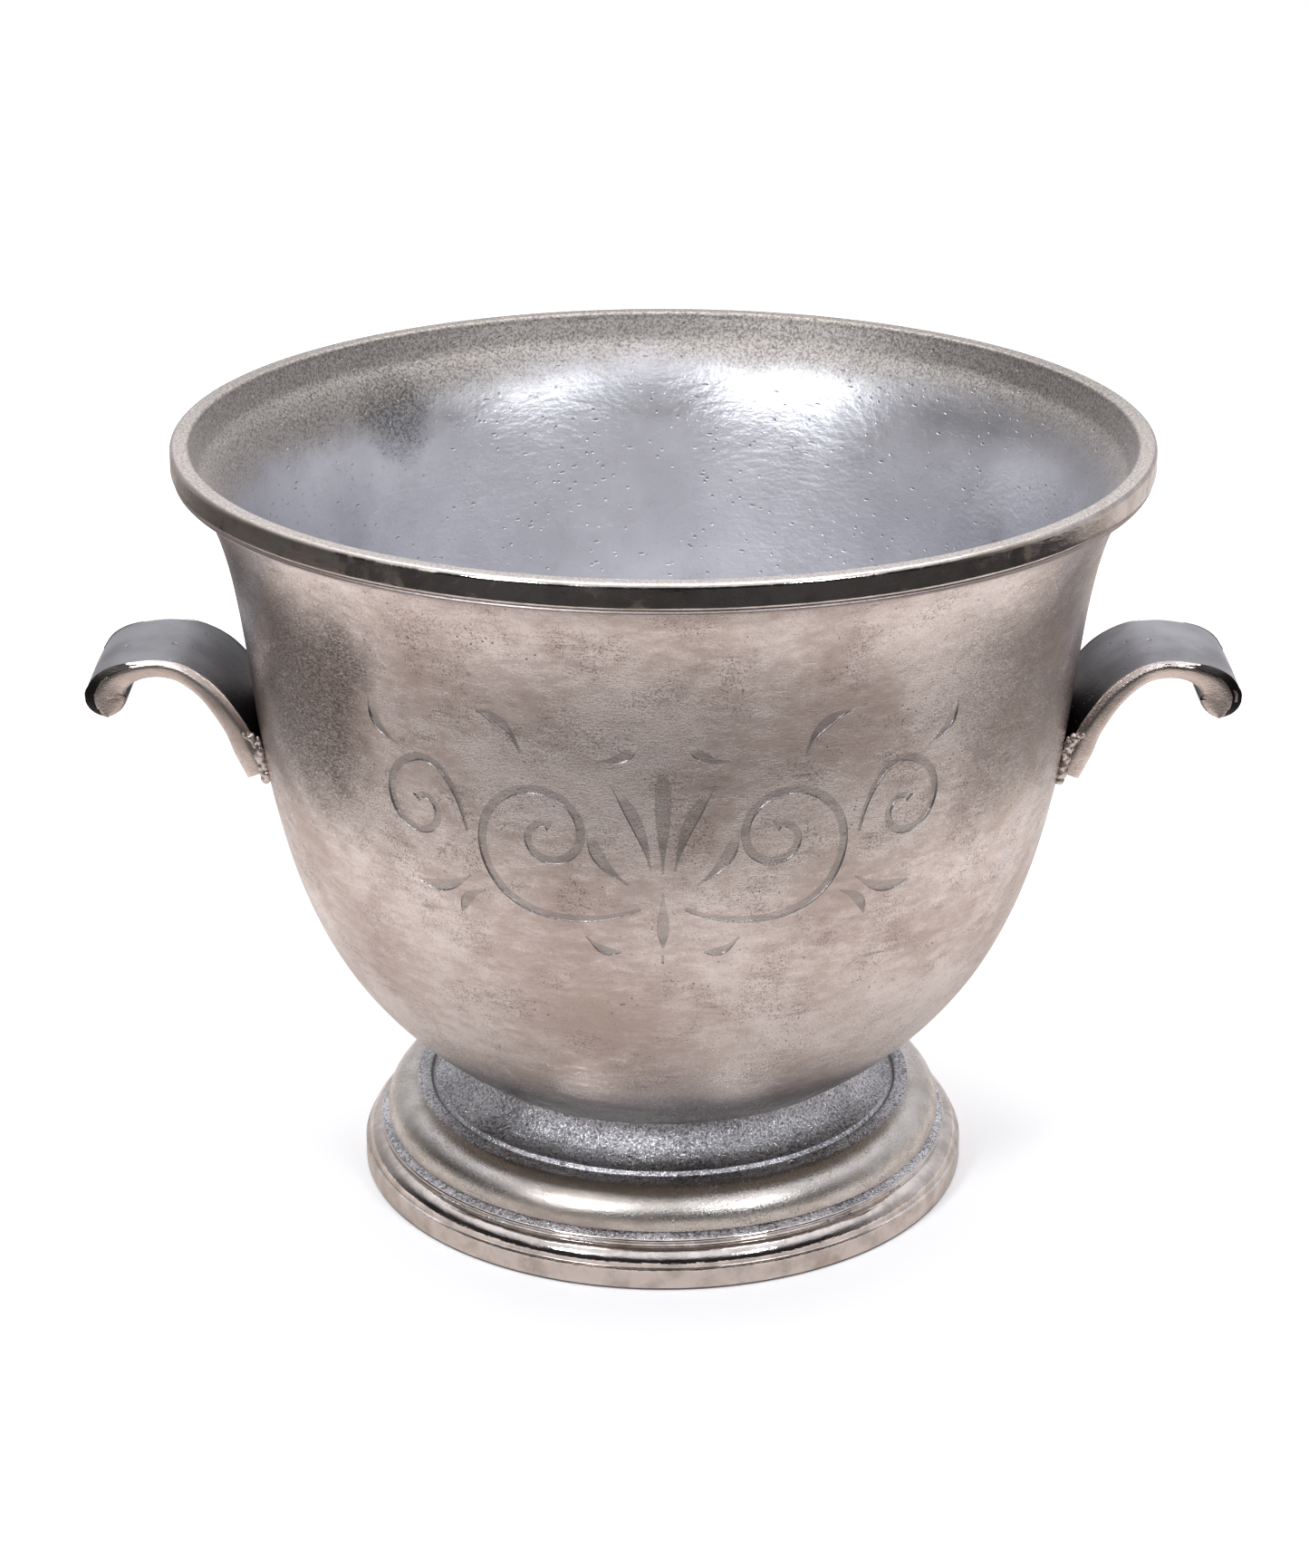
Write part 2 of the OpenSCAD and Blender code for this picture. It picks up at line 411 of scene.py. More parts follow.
def raw_casting(name="raw_casting", light=(0.76, 0.76, 0.795, 1), deep=(0.66, 0.66, 0.695, 1),
                coarse=0.17, sparkle=0.05, rough=0.36, buffed_above=None, glints=0.0,
                crevice_shade_within=None, recess_shade_below=None):
    """Aluminium as it left the sand: rippled, with scattered dimples and a fine grain.

    Above a height it is buffed and stippled brown, its far half painted darker as shade, with one dark
    bruise at the back on the left.
    It can also be painted with shade below a height and towards the bowl, and flecked with painted glints,
    bright and dark."""
    material, b = new_finish(name)
    place = b.add("ShaderNodeTexCoord", out="Object")
    peel = b.noise(smeared(b, place, 1.5, 0.8), 3.2, 3, 0.6)
    grain = b.noise(place, 1.1, 4, 0.7)
    crowd = b.ease(b.noise(place, 22, 2, 0.5), 0.40, 0.56)
    round_dimples = pits(b, b.vector("ADD", place, (0.3, 0.1, 0.2)), 4.0, 0.17, crowd)
    long_dimples = pits(b, smeared(b, place, 1.8, 0.7), 6.0, 0.12, 1.0)
    dimples = b.maths("MAXIMUM", round_dimples, long_dimples)
    soil = b.ease(b.noise(place, 26, 5, 0.65, 0.5), 0.54, 0.72)
    freckles = b.ease(grain, 0.56, 0.68)
    colour = b.blend(b.ease(b.noise(place, 24, 4), 0.30, 0.72), light, deep)
    colour = b.blend(soil * 0.2, colour, (0.42, 0.395, 0.37, 1))
    colour = b.blend(freckles * 0.35 * (0.35 + soil), colour, (0.15, 0.14, 0.14, 1))
    colour = b.blend(dimples * 0.5, colour, (0.20, 0.20, 0.22, 1))
    dullness = rough + 0.12 * freckles - 0.04 * soil
    # Painted shade, darker below a height: the bowl's deep floor and the foot's hollow.
    if recess_shade_below:
        _, _, z = b.split(place)
        recess_shade = b.ease(z / MM, recess_shade_below, recess_shade_below + 30, 0.9, 0)
        colour = b.blend(recess_shade, colour, (0.16, 0.157, 0.155, 1))
    if buffed_above:
        x, y, z = b.split(place)
        ragged = z / MM + 16 * (b.noise(place, 34, 5, 0.7) - 0.5)
        buffed = b.ease(ragged + 9 * b.ease(x * -1, 0.03, 0.11), buffed_above - 10, buffed_above + 7)
        stipple = b.ease(grain * 0.5 + b.noise(place, 0.8, 3, 0.7) * 0.5, 0.45, 0.57)
        # Lit and shaded copies: the near half of the buffed mouth is lighter, the far half painted darker as
        # shade.
        front = b.blend(stipple, (0.60, 0.56, 0.53, 1), (0.36, 0.33, 0.31, 1))
        back = b.blend(stipple, (0.46, 0.425, 0.39, 1), (0.205, 0.185, 0.17, 1))
        colour = b.blend(buffed * 0.92, colour, b.blend(b.ease(y, -0.05, 0.09), front, back))
        away = b.vector("DISTANCE", place, (-0.098, 0.108, buffed_above * MM - 0.008), out="Value") / MM
        away = away + 26 * (b.noise(place, 14, 4, 0.6) - 0.5)
        bruise = b.ease(away, 7, 21, 1, 0) * (0.35 + 0.65 * stipple)
        colour = b.blend(bruise * 0.8, colour, (0.13, 0.125, 0.12, 1))
        dullness = dullness + 0.2 * buffed
    # Painted shade: the strap darkens towards the bowl, as in the crevice between handle and wall.
    if crevice_shade_within:
        x, _, _ = b.split(place)
        reach = b.maths("ABSOLUTE", x) / MM + 5 * (grain - 0.5)
        crevice_shade = b.ease(reach, crevice_shade_within - 22, crevice_shade_within, 1, 0)
        colour = b.blend(crevice_shade * 0.93, colour, (0.012, 0.012, 0.016, 1))
    # Painted glints: bright flecks stand for small facets catching the light, dark flecks for facets
    # mirroring darkness.
    if glints:
        glint_pattern = b.noise(place, 0.95, 3, 0.8)
        colour = b.blend(b.ease(glint_pattern, 0.42, 0.50, 1, 0) * glints, colour, (0.11, 0.105, 0.11, 1))
        colour = b.blend(b.ease(glint_pattern, 0.54, 0.61) * glints, colour, (0.95, 0.95, 1, 1))
        dullness = dullness - 0.12 * b.ease(glint_pattern, 0.54, 0.61)
    rippled = bump(b, peel, coarse)
    grained = bump(b, grain, sparkle, rippled)
    return close_finish(material, b, {
        "Base Color": colour,
        "Metallic": 1.0,
        "Roughness": dullness,
        "Normal": bump(b, 1 - dimples, 0.24, grained),
    })


def plated_steel():
    """Fasteners: bright zinc plate, dulled in patches."""
    material, b = new_finish("plated_steel")
    place = b.add("ShaderNodeTexCoord", out="Object")
    wear = b.noise(place, 3, 4)
    return close_finish(material, b, {
        "Base Color": b.blend(wear, (0.52, 0.52, 0.54, 1), (0.66, 0.66, 0.66, 1)),
        "Metallic": 1.0,
        "Roughness": b.ease(wear, 0.3, 0.7, 0.25, 0.42),
        "Normal": bump(b, b.noise(place, 0.8, 2), 0.01),
    })


SATIN = satin_nickel(shade_below=BELLY_SHADE_Z, shoulders=SHOULDER_Z)
MOULDING = satin_nickel("satin_moulding", (0.80, 0.765, 0.73, 1), (0.50, 0.455, 0.41, 1), 0.8)
LIP = raw_casting("dulled_lip", (0.54, 0.51, 0.49, 1), (0.40, 0.37, 0.345, 1), 0.05, 0.04, 0.34,
                  buffed_above=BUFFED_Z)
BEAD = satin_nickel("satin_bead", (0.70, 0.62, 0.60, 1), (0.53, 0.46, 0.44, 1), 0.6, 0.52)
POLISHED = polished_nickel()
ROUNDS = polished_nickel("polished_rounds", (0.84, 0.78, 0.74, 1), (0.62, 0.57, 0.54, 1), 0.35)
RAW = raw_casting(coarse=0.24, sparkle=0.08, buffed_above=BUFFED_Z, recess_shade_below=FLOOR_Z + 2)
COVE = raw_casting("sand_cast_cove", (0.88, 0.88, 0.92, 1), (0.44, 0.44, 0.47, 1), 0.5, 0.45, 0.28,
                   glints=0.8)
CUT = satin_nickel("engraved_cut", (0.54, 0.50, 0.475, 1), (0.36, 0.32, 0.30, 1), 0.7)
# The handles' tops are lit and shaded copies of one raw casting: the left one is painted darker as shade.
SHADED_LEFT_HANDLE = raw_casting("left_handle_top_shaded", (0.40, 0.40, 0.425, 1), (0.22, 0.215, 0.23, 1), 0.08, 0.05,
                          crevice_shade_within=167)
RIGHT_HANDLE = raw_casting("right_handle_top", (0.52, 0.52, 0.55, 1), (0.30, 0.295, 0.32, 1), 0.08, 0.05,
                           crevice_shade_within=165)
HANDLE_EDGE = satin_nickel("handle_edge", (0.76, 0.675, 0.625, 1), (0.60, 0.52, 0.475, 1), 0.22)
# Painted dark reflection on the handle's bevel, where the rounded corner mirrors dark surroundings.
CHAMFER_REFLECTION_DARK = satin_nickel("chamfer_painted_reflection", (0.045, 0.04, 0.037, 1), (0.02, 0.018, 0.017, 1), 0.2, 0.40)
WELD = satin_nickel("weld_bead_metal", (0.74, 0.665, 0.62, 1), (0.54, 0.475, 0.44, 1), 0.8)
STEEL = plated_steel()


# ---------------------------------------------------------------- turned pieces

def roughened(b, geometry, given, lump):
    """Moves a surface in and out by up to lump millimetres, as a hand-fettled casting's does."""
    wave = b.add("ShaderNodeTexNoise", {"noise_dimensions": "4D"}, {
        "Vector": b.add("GeometryNodeInputPosition"), "W": given["Seed"],
        "Scale": 1 / given["Lump size"], "Detail": 2.0,
    })
    shift = b.vector("SCALE", b.add("GeometryNodeInputNormal"))
    b.plug(shift.socket.node.inputs["Scale"], (wave - 0.5) * lump * (2 * MM))
    uneven = b.add("GeometryNodeSetPosition", None, {"Geometry": geometry, "Offset": shift})
    return b.add("GeometryNodeSetShadeSmooth", None, {"Geometry": uneven})


def grid_of(b, columns, rows):
    """A flat grid to be bent into shape, and the column and row of each of its points."""
    grid = b.add("GeometryNodeMeshGrid", None, {
        "Size X": 1.0, "Size Y": 1.0, "Vertices X": columns, "Vertices Y": rows,
    })
    index = b.add("GeometryNodeInputIndex")
    return grid, b.maths("FLOOR", (index + 0.5) / rows), b.maths("FLOORED_MODULO", index, rows)


def point_count(b, line_geometry):
    return b.add("GeometryNodeAttributeDomainSize", {"component": "CURVE"}, {"Geometry": line_geometry})


def sampled(b, line_geometry, value, kind, index):
    """A value read from one point of a drawn line."""
    return b.add("GeometryNodeSampleIndex", {"data_type": kind, "domain": "POINT"}, {
        "Geometry": line_geometry, "Value": value, "Index": index,
    })


def lathe_tree():
    """Turns a profile, drawn as radius and height in the XZ plane, into a closed solid of revolution."""
    tree, b, given, outlet = geometry_tree("turn_on_lathe", [
        ("Steps", "Int"), ("Seed", "Float"), ("Lump size", "Float"), ("Finish", "Material"),
    ])
    section = given["Geometry"]
    rows = point_count(b, section)
    grid, column, row = grid_of(b, given["Steps"] + 1, rows)
    r, _, z = b.split(sampled(b, section, b.add("GeometryNodeInputPosition"), "FLOAT_VECTOR", row))
    lump = sampled(b, section, b.add("GeometryNodeInputRadius"), "FLOAT", row)
    angle = column * (2 * math.pi) / given["Steps"]
    place = b.join(r * b.maths("COSINE", angle), r * b.maths("SINE", angle), z)
    turned = b.add("GeometryNodeSetPosition", None, {"Geometry": grid, "Position": place})
    kept = b.nodes.new("GeometryNodeCaptureAttribute")
    kept.capture_items.new("FLOAT", "lump")
    b.plug(kept.inputs["Geometry"], turned)
    b.plug(kept.inputs["lump"], lump)
    merged = b.add("GeometryNodeMergeByDistance", None, {
        "Geometry": Wire(b, kept.outputs["Geometry"]), "Distance": MERGE_GAP,
    })
    smooth = roughened(b, merged, given, Wire(b, kept.outputs["lump"]))
    finish_tree(b, outlet, smooth, given["Finish"])
    return tree


LATHE = lathe_tree()


def turned(name, profile, steps, seed, lump_size, finish):
    """A turned piece from (radius, height, unevenness) points, in millimetres."""
    section = drawn_line(name + "_section", [[(r, 0, z, lump) for r, z, lump in profile]])
    made = run_tree(section, LATHE, {
        "Steps": steps, "Seed": seed, "Lump size": lump_size * MM, "Finish": finish,
    }, name)
    drop(section)
    return made


def sharpen(piece, degrees=35):
    """Smooth faces with crisp edges where two faces meet at more than so many degrees."""
    mesh = piece.data
    work = bmesh.new()
    work.from_mesh(mesh)
    limit = math.radians(degrees)
    for edge in work.edges:
        edge.smooth = edge.calc_face_angle(0) < limit
    for face in work.faces:
        face.smooth = True
    work.to_mesh(mesh)
    work.free()


KNEE = Vector((KNEE_R, KNEE_Z))


def wall_curve(depth, count):
    """The wall's line from the seat to under the rim, moved in from the outer face by depth."""
    up = polar(1, 90 - KNEE_LEAN)
    knee = KNEE + depth * polar(1, 180 - KNEE_LEAN)
    start = Vector((76 - 0.8 * depth, FOOT_H + 1.5 + (FLOOR_Z - FOOT_H - 1) * depth / WALL_T))
    end = Vector((RIM_R - 4.5 - 1.1 * depth, RIM_LOW_Z - 1.8))
    return (
        [start]
        + curve(start, start + Vector((37 - 0.2 * depth, 26.5)), knee - (49.5 - depth) * up, knee, count)
        + curve(knee, knee + 37.6 * up, end - polar(25.7, 46.8), end, count)
    )


def with_lumps(points, lump):
    return [(p[0], p[1], lump) for p in points]


def bowl_profile():
    under = with_lumps([(0, FOOT_H + TAP_DEPTH), (BOLT_D / 2 + 0.05, FOOT_H + TAP_DEPTH),
                        (BOLT_D / 2 + 0.05, FOOT_H), (BOSS_R - 0.5, FOOT_H), (BOSS_R, FOOT_H + 0.5)], 0)
    under += with_lumps([(BOSS_R + 1, FOOT_H + CORE_H - 1), (BOSS_R + 3, FOOT_H + CORE_H),
                         (CORE_R - 3, FOOT_H + CORE_H), (CORE_R, FOOT_H + CORE_H - 2)], 0.2)
    seat = with_lumps([(CORE_R + 1, FOOT_H), (SEAT_R - 1, FOOT_H), (SEAT_R + 2, FOOT_H),
                       (SEAT_R + 4.2, FOOT_H + 0.35)], 0)
    outside = with_lumps(wall_curve(0, 40), 0.16)
    outside[-4:] = [(r, z, 0.05) for r, z, _ in outside[-4:]]
    bead = with_lumps(arc((RIM_R - 1.6, RIM_LOW_Z - BEAD_R), BEAD_R, -80, 70, 6), 0.04)
    band = with_lumps(arc((RIM_R - 1.2, RIM_LOW_Z + 1.3), 1.2, -75, 0, 5), 0.03)
    band += with_lumps(line(Vector((RIM_R, RIM_LOW_Z + 1.3)), Vector((RIM_R, RIM_Z - 1.6)), 4), 0.03)
    band += with_lumps(arc((RIM_R - 1.6, RIM_Z - 1.6), 1.6, 8, 90, 7), 0.03)
    lip = with_lumps(line(Vector((RIM_R - 1.6, RIM_Z)), Vector((LIP_R + 1.4, RIM_Z - 0.1)), 4), 0.03)
    lip += with_lumps(arc((LIP_R + 1.4, RIM_Z - 1.5), 1.4, 98, 180, 6), 0.05)
    flare = line(Vector((LIP_R, RIM_Z - 1.5)), Vector((LIP_R - 2.0, RIM_LOW_Z + 0.6)), 5)
    flare += [Vector((LIP_R - 2.5, RIM_LOW_Z - 0.8))]
    inner = list(reversed(wall_curve(WALL_T, 40)))
    floor = [Vector((62, FLOOR_Z)), Vector((45, FLOOR_Z)), Vector((28, FLOOR_Z)), Vector((12, FLOOR_Z)),
             Vector((0, FLOOR_Z))]
    inside = with_lumps(flare, 0.1) + with_lumps(inner + floor, 0.3)
    return under + seat + outside + bead + band + lip + inside


def foot_profile():
    torus_c = Vector((BASE_R - 19.3, BASE_BAND_H + TORUS_R))
    cove_c = Vector((SEAT_R + 0.5 + COVE_R, FOOT_H - 0.6))
    base = with_lumps([(BASE_R - 1.0, 0), (BASE_R - 0.25, 0.3), (BASE_R, 1.0)], 0.05)
    base += with_lumps(line(Vector((BASE_R, 1.0)), Vector((BASE_R, BASE_BAND_H - 0.4)), 4), 0.06)
    base += with_lumps([(BASE_R - 0.15, BASE_BAND_H - 0.1), (BASE_R - 0.6, BASE_BAND_H)], 0.03)
    ovolo = with_lumps(arc((BASE_R - 1 - OVOLO_R, BASE_BAND_H + 0.3), OVOLO_R, 0, 84, 12), 0.08)
    ring = with_lumps(arc((BASE_R - 6.9, BASE_BAND_H + 7.2), 1.1, -60, 75, 6), 0.12)
    groove = with_lumps([(torus_c.x + TORUS_R - 0.9, torus_c.y - 1.8)], 0.1)
    torus = with_lumps(arc(torus_c, TORUS_R, -6, 90, 20), 0.14)
    torus_top = torus_c.y + TORUS_R
    fillet = with_lumps([(torus_c.x - 1.6, torus_top + 0.1), (torus_c.x - 3.6, torus_top + 0.75),
                         (torus_c.x - 4.6, torus_top + 0.7), (torus_c.x - 5.4, torus_top + 0.2)], 0.08)
    cove = with_lumps(arc(cove_c, COVE_R, 267, 182, 18), 0.22)
    top = with_lumps([(SEAT_R - 0.1, FOOT_H - 0.3), (SEAT_R - 0.8, FOOT_H), (BOSS_R, FOOT_H),
                      (BOLT_D / 2 + 0.5, FOOT_H), (BOLT_D / 2 + 0.5, BOSS_Z), (BOSS_R - 1, BOSS_Z),
                      (BOSS_R, BOSS_Z + 0.6), (BOSS_R + 1, FOOT_H - 7.6), (BOSS_R + 2, FOOT_H - 7)], 0)
    seat_inner = SEAT_R - FOOT_WALL_T
    torus_under = torus_top - FOOT_WALL_T
    band_inner = BASE_R - FOOT_WALL_T
    hollow = with_lumps([
        (38, FOOT_H - 7), (seat_inner - 4, FOOT_H - 7.2), (seat_inner, FOOT_H - 8.6),
        (seat_inner + 3, FOOT_H - 10.5), (72, 30), (torus_c.x - 6 - FOOT_WALL_T, torus_under + 0.9),
        (torus_c.x - 6, torus_under + 0.2), (torus_c.x - 1, torus_under),
        (torus_c.x + 4.5, torus_c.y + 4.3), (torus_c.x + TORUS_R - FOOT_WALL_T, torus_c.y - 3),
        (band_inner - OVOLO_R + 1, BASE_BAND_H + 2), (band_inner - 1.9, BASE_BAND_H - 1),
        (band_inner - 1.5, BASE_BAND_H - 3), (band_inner - 1.5, 0.6), (band_inner - 0.9, 0),
        (BASE_R - 3, 0)], 0.2)
    hollow[-3:] = [(r, z, 0) for r, z, _ in hollow[-3:]]
    loop = base + ovolo + ring + groove + torus + fillet + cove + top + hollow
    return loop + [loop[0]]


# ---------------------------------------------------------------- engraving

ORNAMENT_Z = 179
ORNAMENT_SCALE = 0.86
ENGRAVED_R = 144
GROOVE_W = 1.65
GROOVE_DEPTH = 0.5
RAY_START = 200 * MM
CUT_FACE_GAP = 0.05 * MM


def tapered(points, half_width, lead=0.2, tail=0.4, thin=0.35, eye=0.0):
    """A cut of a graver: thin where it starts, full, and thin or with a round eye where it ends."""
    last = len(points) - 1
    cut = []
    for i, p in enumerate(points):
        t = i / last
        width = half_width
        if t < lead:
            width *= thin + (1 - thin) * math.sin(t / lead * math.pi / 2)
        if t > 1 - tail:
            width *= 0.62 + 0.38 * math.sin((1 - t) / tail * math.pi / 2)
        if eye and t > 0.965:
            width += (eye - width) * math.sin((t - 0.965) / 0.035 * math.pi / 2)
        cut.append((p[0], p[1], width))
    return cut


def volute(centre, start_r, end_r, start, sweep):
    """Points of a spiral that winds in evenly, by angles in degrees."""
    count = int(abs(sweep) / 6)
    return [Vector(centre) + polar(start_r * (end_r / start_r) ** (i / count), start + sweep * i / count)
            for i in range(count + 1)]


def leaf(root, degrees, length, half_width, bend):
    """A pointed leaf, widest past its middle and bent to one side."""
    along = polar(1, degrees)
    aside = polar(1, degrees + 90)
    cut = []
    for i in range(15):
        t = i / 14
        p = Vector(root) + along * length * t + aside * bend * math.sin(math.pi * 0.9 * t)
        cut.append((p.x, p.y, max(0.4, half_width * math.sin(math.pi * (0.97 * t ** 1.35) + 0.05))))
    return cut


def half_ornament():
    """The strokes of the ornament's right half: distance to the side and up, and half the width."""
    great = volute((44, -2), 27.7, 4.6, -26, 500)
    great_stem = curve(Vector((7, -29)), Vector((20, -37)), great[0] - polar(30, 75), great[0], 26)
    small = volute((95, 2), 20, 3.8, 87, -400)
    small_stem = curve(Vector((75.5, -7)), Vector((77, 9)), small[0] - polar(12, -15), small[0], 18)
    return [
        tapered(great_stem + great[1:], GROOVE_W, 0.18, 0.5, 0.4, 2.3),
        tapered(small_stem + small[1:], GROOVE_W * 0.92, 0.2, 0.5, 0.35, 1.9),
        leaf((4.4, -14), 66, 38, 2.3, 3),
        leaf((13, -20), 60, 27, 2.4, -4),
        leaf((24, 30), 150, 17, 2.0, 3),
        leaf((52, 31), 40, 22, 2.2, 4),
        leaf((76, -23), -12, 26, 2.3, -4),
        leaf((70, -28), -48, 17, 2.0, 3),
        leaf((104, 25), 58, 20, 2.1, -4),
        leaf((30, -43), -160, 15, 1.8, 3),
    ]


def ornament():
    """All the strokes, laid out as distance round the bowl, height and half the width."""
    half = half_ornament()
    mirrored = [[(-x, z, width) for x, z, width in cut] for cut in half]
    pearl = [(x, -52, 1.8) for x in (-0.5, 0, 0.5)]
    middle = [leaf((0, -15), 90, 48, 2.8, 0), leaf((0, -23), -90, 24, 2.3, 0), pearl]
    return [
        [(x * ORNAMENT_SCALE, ORNAMENT_Z + z * ORNAMENT_SCALE, width) for x, z, width in cut]
        for cut in half + mirrored + middle
    ]


def engraving_tree():
    """Wraps flat strokes round the bowl and cuts them into it as grooves.

    Ends in Set Material on the whole and then on the cut faces alone."""
    tree, b, given, outlet = geometry_tree("engrave", [
        ("Strokes", "Object"), ("Radius", "Float"), ("Depth", "Float"), ("Step", "Float"),
        ("Finish", "Material"), ("Cut finish", "Material"),
    ])
    strokes = b.add("GeometryNodeObjectInfo", None, {"Object": given["Strokes"]}, "Geometry")
    stepped = b.add("GeometryNodeResampleCurve", {"mode": "LENGTH"}, {
        "Curve": strokes, "Length": given["Step"],
    })
    upright = b.add("GeometryNodeSetCurveNormal", {"mode": "Z_UP"}, {"Curve": stepped})
    groove = b.add("GeometryNodeCurvePrimitiveQuadrilateral", {"mode": "TRAPEZOID"}, {
        "Bottom Width": 1.6 * MM, "Top Width": 2.0 * MM, "Height": 1.0 * MM, "Offset": 0.0,
    })
    tube = b.add("GeometryNodeCurveToMesh", None, {
        "Curve": upright, "Profile Curve": groove, "Scale": b.add("GeometryNodeInputRadius"),
        "Fill Caps": True,
    })
    round_way, height, level = b.split(b.add("GeometryNodeInputPosition"))
    angle = round_way / given["Radius"] - math.pi / 2
    out_x = b.maths("COSINE", angle)
    out_y = b.maths("SINE", angle)
    ray = b.nodes.new("GeometryNodeRaycast")
    b.plug(ray.inputs["Target Geometry"], given["Geometry"])
    b.plug(ray.inputs["Source Position"], b.join(out_x * RAY_START, out_y * RAY_START, height))
    b.plug(ray.inputs["Ray Direction"], b.join(out_x * -1, out_y * -1, 0.0))
    b.plug(ray.inputs["Ray Length"], RAY_START)
    above = level > 0
    full = b.maths("MINIMUM", b.maths("ABSOLUTE", level) / (0.5 * GROOVE_W * MM), 1.0)
    lift = above * MM - (1 - above) * full * given["Depth"]
    shift = b.vector("SCALE", Wire(b, ray.outputs["Hit Normal"]))
    b.plug(shift.socket.node.inputs["Scale"], lift)
    wrapped = b.add("GeometryNodeSetPosition", None, {
        "Geometry": tube, "Position": b.vector("ADD", Wire(b, ray.outputs["Hit Position"]), shift),
    })
    cut = b.add("GeometryNodeMeshBoolean", {"operation": "DIFFERENCE", "solver": "MANIFOLD"}, {
        "Mesh 1": given["Geometry"], "Mesh 2": wrapped,
    })
    away = b.add("GeometryNodeProximity", {"target_element": "FACES"}, {
        "Target": given["Geometry"],
    }, "Distance")
    real = b.add("GeometryNodeRealizeInstances", None, {"Geometry": cut})
    whole = b.add("GeometryNodeSetMaterial", None, {"Geometry": real, "Material": given["Finish"]})
    done = b.add("GeometryNodeSetMaterial", None, {
        "Geometry": whole, "Selection": away > CUT_FACE_GAP, "Material": given["Cut finish"],
    })
    b.plug(outlet.inputs[0], done)
    return tree


def engraved(piece, name):
    """The piece with the ornament cut into its front."""
    strokes = drawn_line("ornament", [[(x, z, 0, width) for x, z, width in cut] for cut in ornament()])
    made = run_tree(piece, engraving_tree(), {
        "Strokes": strokes, "Radius": ENGRAVED_R * MM, "Depth": GROOVE_DEPTH * MM, "Step": 0.9 * MM,
        "Finish": SATIN, "Cut finish": CUT,
    }, name)
    drop(strokes, piece)
    return made


bowl = engraved(turned("plain_bowl", bowl_profile(), 288, 1.5, 26, SATIN), "bucket_bowl")
foot = turned("bucket_foot", foot_profile(), 256, 4.0, 16, RAW)

for piece in (bowl, foot):
    sharpen(piece)


def add_finish(piece, finish, chosen):
    """Gives a finish to the faces whose centre and normal are chosen."""
    piece.data.materials.append(finish)
    number = len(piece.data.materials) - 1
    for face in piece.data.polygons:
        if chosen(face):
            face.material_index = number


def is_inside(face):
    """Whether a face looks inwards, or straight up as the bowl's floor does."""
    outward = Vector((face.center.x, face.center.y, 0))
    return face.normal.dot(outward) < 0 or face.normal.z > 0.9


def is_under(face):
    """Whether a face of the foot belongs to its hollow or its bottom edge."""
    at_the_bottom = face.normal.z < -0.15 and face.center.z < 3 * MM
    return at_the_bottom or (is_inside(face) and face.normal.z < 0.9)


def radius_of(face):
    return math.hypot(face.center.x, face.center.y) / MM


def height_of(face):
    return face.center.z / MM


def is_rim_band(face):
    """Whether a face is on the rim's upright outer band."""
    return height_of(face) > RIM_LOW_Z and radius_of(face) > RIM_R - 1.3 and face.normal.z < 0.9


def is_large_moulding(face):
    return 88.4 < radius_of(face) < 99.3 and height_of(face) > 14


add_finish(bowl, RAW, lambda f: is_inside(f) and height_of(f) < RIM_Z - 1.5)
add_finish(bowl, LIP, lambda f: height_of(f) > RIM_Z - 1.6 and radius_of(f) < RIM_R - 0.5)
add_finish(bowl, BEAD, lambda f: RIM_LOW_Z - 2.4 < height_of(f) <= RIM_LOW_Z and radius_of(f) > RIM_R - 4)
add_finish(bowl, POLISHED, is_rim_band)
add_finish(foot, COVE, lambda f: height_of(f) > BASE_BAND_H + 2 and not is_under(f))
add_finish(foot, MOULDING, lambda f: is_large_moulding(f) and not is_under(f))
add_finish(foot, ROUNDS, lambda f: radius_of(f) > 101.3 and not is_under(f))

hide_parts("bowl")
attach(bowl, "root")
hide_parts("foot")
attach(foot, "root")


# ---------------------------------------------------------------- handles

STEM_FLARE = 0.24


